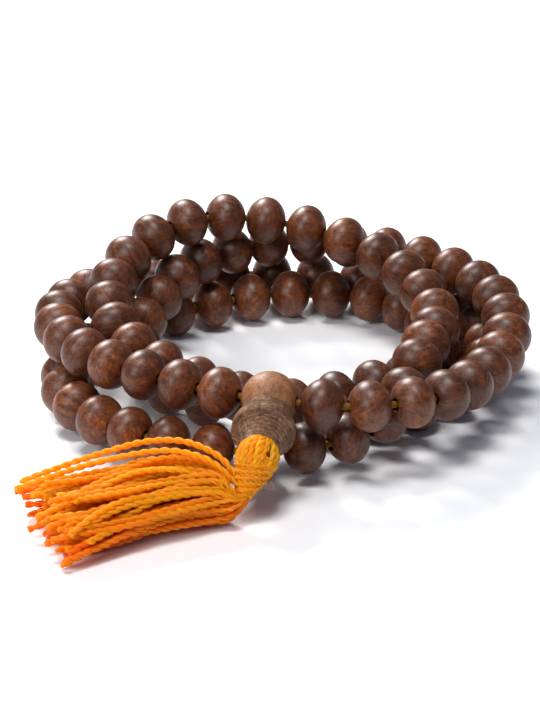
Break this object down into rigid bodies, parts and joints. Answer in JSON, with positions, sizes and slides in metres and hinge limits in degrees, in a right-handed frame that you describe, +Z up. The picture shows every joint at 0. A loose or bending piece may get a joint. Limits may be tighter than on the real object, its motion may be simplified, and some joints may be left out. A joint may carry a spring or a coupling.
{
  "type": "mala prayer beads",
  "caption": "String of oblate wooden prayer beads coiled on a table, with a round guru bead, a ridged conical tower bead and a bound thread tassel.",
  "frame": {"origin": "on the table, under the middle of the box that holds the beads, the guru bead and the tower bead, without the tassel", "axes": "+Z up from the table; +Y from the guru bead and tower bead at the front towards the back of the coil; +X to the right seen from the front"},
  "size_m": [0.076, 0.1031, 0.0223],
  "materials": {
    "bead_wood": "polished",
    "guru_wood": "satin",
    "tower_wood": "rough turned",
    "cord_thread": "matte",
    "tassel_thread": "matte"
  },
  "bodies": {
    "strand": {"back_turn_beads": "bead_wood", "inner_turn_beads": "bead_wood", "table_turn_beads": "bead_wood", "under_turn_beads": "bead_wood", "stringing_cord": "cord_thread"},
    "bead_001": {"bead_001": "bead_wood"},
    "bead_002": {"bead_002": "bead_wood"},
    "bead_003": {"bead_003": "bead_wood"},
    "bead_004": {"bead_004": "bead_wood"},
    "bead_005": {"bead_005": "bead_wood"},
    "bead_006": {"bead_006": "bead_wood"},
    "bead_007": {"bead_007": "bead_wood"},
    "bead_008": {"bead_008": "bead_wood"},
    "bead_009": {"bead_009": "bead_wood"},
    "bead_010": {"bead_010": "bead_wood"},
    "bead_011": {"bead_011": "bead_wood"},
    "bead_012": {"bead_012": "bead_wood"},
    "bead_013": {"bead_013": "bead_wood"},
    "bead_014": {"bead_014": "bead_wood"},
    "bead_058": {"bead_058": "bead_wood"},
    "bead_059": {"bead_059": "bead_wood"},
    "bead_060": {"bead_060": "bead_wood"},
    "bead_061": {"bead_061": "bead_wood"},
    "bead_062": {"bead_062": "bead_wood"},
    "bead_063": {"bead_063": "bead_wood"},
    "bead_064": {"bead_064": "bead_wood"},
    "bead_065": {"bead_065": "bead_wood"},
    "bead_066": {"bead_066": "bead_wood"},
    "bead_067": {"bead_067": "bead_wood"},
    "bead_068": {"bead_068": "bead_wood"},
    "bead_069": {"bead_069": "bead_wood"},
    "bead_070": {"bead_070": "bead_wood"},
    "bead_071": {"bead_071": "bead_wood"},
    "bead_072": {"bead_072": "bead_wood"},
    "bead_073": {"bead_073": "bead_wood"},
    "bead_074": {"bead_074": "bead_wood"},
    "bead_075": {"bead_075": "bead_wood"},
    "bead_076": {"bead_076": "bead_wood"},
    "bead_077": {"bead_077": "bead_wood"},
    "bead_099": {"bead_099": "bead_wood"},
    "bead_100": {"bead_100": "bead_wood"},
    "bead_101": {"bead_101": "bead_wood"},
    "bead_102": {"bead_102": "bead_wood"},
    "bead_103": {"bead_103": "bead_wood"},
    "bead_104": {"bead_104": "bead_wood"},
    "bead_105": {"bead_105": "bead_wood"},
    "bead_106": {"bead_106": "bead_wood"},
    "bead_107": {"bead_107": "bead_wood"},
    "bead_108": {"bead_108": "bead_wood"},
    "pendant": {"guru_bead": "guru_wood", "tassel_cord": "tassel_thread", "tassel_knot": "tassel_thread"},
    "tower": {"tower_bead": "tower_wood"},
    "tassel": {"tassel_core": "tassel_thread", "tassel_binding": "tassel_thread", "tassel_skirt": "tassel_thread", "stray_thread_high": "tassel_thread", "stray_thread_middle": "tassel_thread"}
  },
  "joints": [
    {"name": "bead_001_spin", "type": "hinge", "parent": "strand", "child": "bead_001", "pos_m": [0.00564, -0.03231, 0.0122], "axis": [0.986, -0.1644, -0.0284], "continuous": true},
    {"name": "bead_002_spin", "type": "hinge", "parent": "strand", "child": "bead_002", "pos_m": [0.01239, -0.03224, 0.01199], "axis": [0.9823, 0.1846, -0.0327], "continuous": true},
    {"name": "bead_003_spin", "type": "hinge", "parent": "strand", "child": "bead_003", "pos_m": [0.0186, -0.02992, 0.0116], "axis": [0.8576, 0.5074, -0.0846], "continuous": true},
    {"name": "bead_004_spin", "type": "hinge", "parent": "strand", "child": "bead_004", "pos_m": [0.02352, -0.0257, 0.01089], "axis": [0.6283, 0.7674, -0.1278], "continuous": true},
    {"name": "bead_005_spin", "type": "hinge", "parent": "strand", "child": "bead_005", "pos_m": [0.02718, -0.02025, 0.01017], "axis": [0.4751, 0.8755, -0.0883], "continuous": true},
    {"name": "bead_006_spin", "type": "hinge", "parent": "strand", "child": "bead_006", "pos_m": [0.03018, -0.01435, 0.00984], "axis": [0.4285, 0.9035, -0.0128], "continuous": true},
    {"name": "bead_007_spin", "type": "hinge", "parent": "strand", "child": "bead_007", "pos_m": [0.03257, -0.00819, 0.00992], "axis": [0.2931, 0.9554, 0.0361], "continuous": true},
    {"name": "bead_008_spin", "type": "hinge", "parent": "strand", "child": "bead_008", "pos_m": [0.03398, -0.00175, 0.01032], "axis": [0.1341, 0.9873, 0.0849], "continuous": true},
    {"name": "bead_009_spin", "type": "hinge", "parent": "strand", "child": "bead_009", "pos_m": [0.03422, 0.00482, 0.01091], "axis": [-0.0635, 0.9935, 0.0948], "continuous": true},
    {"name": "bead_010_spin", "type": "hinge", "parent": "strand", "child": "bead_010", "pos_m": [0.03315, 0.01131, 0.01128], "axis": [-0.2585, 0.9659, 0.0167], "continuous": true},
    {"name": "bead_011_spin", "type": "hinge", "parent": "strand", "child": "bead_011", "pos_m": [0.03078, 0.01746, 0.01134], "axis": [-0.4563, 0.8898, 0.0011], "continuous": true},
    {"name": "bead_012_spin", "type": "hinge", "parent": "strand", "child": "bead_012", "pos_m": [0.02711, 0.02292, 0.01145], "axis": [-0.6524, 0.7573, 0.0314], "continuous": true},
    {"name": "bead_013_spin", "type": "hinge", "parent": "strand", "child": "bead_013", "pos_m": [0.02236, 0.02751, 0.01162], "axis": [-0.7782, 0.6276, 0.0208], "continuous": true},
    {"name": "bead_014_spin", "type": "hinge", "parent": "strand", "child": "bead_014", "pos_m": [0.01688, 0.0312, 0.01173], "axis": [-0.8747, 0.4845, 0.0114], "continuous": true},
    {"name": "bead_058_spin", "type": "hinge", "parent": "strand", "child": "bead_058", "pos_m": [0.01803, -0.02036, 0.00936], "axis": [0.3816, 0.8304, 0.406], "continuous": true},
    {"name": "bead_059_spin", "type": "hinge", "parent": "strand", "child": "bead_059", "pos_m": [0.01984, -0.01439, 0.01129], "axis": [0.1623, 0.9711, 0.1748], "continuous": true},
    {"name": "bead_060_spin", "type": "hinge", "parent": "strand", "child": "bead_060", "pos_m": [0.02142, -0.00804, 0.01155], "axis": [0.316, 0.9439, -0.0956], "continuous": true},
    {"name": "bead_061_spin", "type": "hinge", "parent": "strand", "child": "bead_061", "pos_m": [0.02311, -0.00166, 0.01127], "axis": [0.1937, 0.981, 0.0094], "continuous": true},
    {"name": "bead_062_spin", "type": "hinge", "parent": "strand", "child": "bead_062", "pos_m": [0.02338, 0.00487, 0.01163], "axis": [-0.112, 0.9887, 0.0991], "continuous": true},
    {"name": "bead_063_spin", "type": "hinge", "parent": "strand", "child": "bead_063", "pos_m": [0.0219, 0.01125, 0.01237], "axis": [-0.3342, 0.934, 0.1264], "continuous": true},
    {"name": "bead_064_spin", "type": "hinge", "parent": "strand", "child": "bead_064", "pos_m": [0.01912, 0.01716, 0.01325], "axis": [-0.5059, 0.8517, 0.1367], "continuous": true},
    {"name": "bead_065_spin", "type": "hinge", "parent": "strand", "child": "bead_065", "pos_m": [0.01512, 0.0223, 0.01421], "axis": [-0.699, 0.698, 0.1553], "continuous": true},
    {"name": "bead_066_spin", "type": "hinge", "parent": "strand", "child": "bead_066", "pos_m": [0.00996, 0.02623, 0.01529], "axis": [-0.8571, 0.4864, 0.1696], "continuous": true},
    {"name": "bead_067_spin", "type": "hinge", "parent": "strand", "child": "bead_067", "pos_m": [0.00396, 0.02868, 0.0164], "axis": [-0.9533, 0.2521, 0.1662], "continuous": true},
    {"name": "bead_068_spin", "type": "hinge", "parent": "strand", "child": "bead_068", "pos_m": [-0.00246, 0.02933, 0.01754], "axis": [-0.9829, -0.0535, 0.176], "continuous": true},
    {"name": "bead_069_spin", "type": "hinge", "parent": "strand", "child": "bead_069", "pos_m": [-0.00887, 0.0282, 0.01847], "axis": [-0.9514, -0.2893, 0.1057], "continuous": true},
    {"name": "bead_070_spin", "type": "hinge", "parent": "strand", "child": "bead_070", "pos_m": [-0.0149, 0.02561, 0.01856], "axis": [-0.8667, -0.4926, -0.0784], "continuous": true},
    {"name": "bead_071_spin", "type": "hinge", "parent": "strand", "child": "bead_071", "pos_m": [-0.0201, 0.02176, 0.01751], "axis": [-0.7045, -0.6682, -0.2391], "continuous": true},
    {"name": "bead_072_spin", "type": "hinge", "parent": "strand", "child": "bead_072", "pos_m": [-0.02386, 0.01667, 0.01588], "axis": [-0.4285, -0.8679, -0.2512], "continuous": true},
    {"name": "bead_073_spin", "type": "hinge", "parent": "strand", "child": "bead_073", "pos_m": [-0.02587, 0.01059, 0.01442], "axis": [-0.1778, -0.9654, -0.1907], "continuous": true},
    {"name": "bead_074_spin", "type": "hinge", "parent": "strand", "child": "bead_074", "pos_m": [-0.02629, 0.00412, 0.01323], "axis": [0.0527, -0.9845, -0.1672], "continuous": true},
    {"name": "bead_075_spin", "type": "hinge", "parent": "strand", "child": "bead_075", "pos_m": [-0.02509, -0.00226, 0.01223], "axis": [0.3073, -0.942, -0.1348], "continuous": true},
    {"name": "bead_076_spin", "type": "hinge", "parent": "strand", "child": "bead_076", "pos_m": [-0.02225, -0.00811, 0.01128], "axis": [0.5489, -0.8217, -0.1536], "continuous": true},
    {"name": "bead_077_spin", "type": "hinge", "parent": "strand", "child": "bead_077", "pos_m": [-0.01795, -0.01297, 0.01027], "axis": [0.7498, -0.6449, -0.1483], "continuous": true},
    {"name": "bead_099_spin", "type": "hinge", "parent": "strand", "child": "bead_099", "pos_m": [-0.03037, 0.01994, 0.00895], "axis": [-0.4782, -0.8701, 0.1194], "continuous": true},
    {"name": "bead_100_spin", "type": "hinge", "parent": "strand", "child": "bead_100", "pos_m": [-0.03302, 0.01367, 0.00971], "axis": [-0.2839, -0.9537, 0.0989], "continuous": true},
    {"name": "bead_101_spin", "type": "hinge", "parent": "strand", "child": "bead_101", "pos_m": [-0.03422, 0.00722, 0.01033], "axis": [-0.0777, -0.9928, 0.0908], "continuous": true},
    {"name": "bead_102_spin", "type": "hinge", "parent": "strand", "child": "bead_102", "pos_m": [-0.03391, 0.00067, 0.01088], "axis": [0.1714, -0.9825, 0.0729], "continuous": true},
    {"name": "bead_103_spin", "type": "hinge", "parent": "strand", "child": "bead_103", "pos_m": [-0.03213, -0.00567, 0.0113], "axis": [0.3644, -0.9297, 0.0534], "continuous": true},
    {"name": "bead_104_spin", "type": "hinge", "parent": "strand", "child": "bead_104", "pos_m": [-0.02918, -0.01156, 0.01166], "axis": [0.5271, -0.8479, 0.0566], "continuous": true},
    {"name": "bead_105_spin", "type": "hinge", "parent": "strand", "child": "bead_105", "pos_m": [-0.0251, -0.01673, 0.01196], "axis": [0.7021, -0.7114, 0.0325], "continuous": true},
    {"name": "bead_106_spin", "type": "hinge", "parent": "strand", "child": "bead_106", "pos_m": [-0.02013, -0.02109, 0.01212], "axis": [0.797, -0.6037, 0.0173], "continuous": true},
    {"name": "bead_107_spin", "type": "hinge", "parent": "strand", "child": "bead_107", "pos_m": [-0.01471, -0.02489, 0.01221], "axis": [0.8396, -0.5431, 0.0098], "continuous": true},
    {"name": "bead_108_spin", "type": "hinge", "parent": "strand", "child": "bead_108", "pos_m": [-0.00894, -0.02814, 0.01231], "axis": [0.899, -0.4375, 0.0208], "continuous": true},
    {"name": "guru_swing", "type": "hinge", "parent": "strand", "child": "pendant", "pos_m": [-0.00185, -0.03067, 0.01234], "axis": [0.9673, -0.2534, -0.0101], "range_deg": [-70, 0]},
    {"name": "tower_spin", "type": "hinge", "parent": "pendant", "child": "tower", "pos_m": [-0.00326, -0.04181, 0.00941], "axis": [-0.1209, -0.9601, -0.2521], "continuous": true},
    {"name": "tassel_swing", "type": "hinge", "parent": "pendant", "child": "tassel", "pos_m": [-0.00338, -0.04277, 0.00916], "axis": [0, 0, 1], "range_deg": [0, 60]}
  ]
}
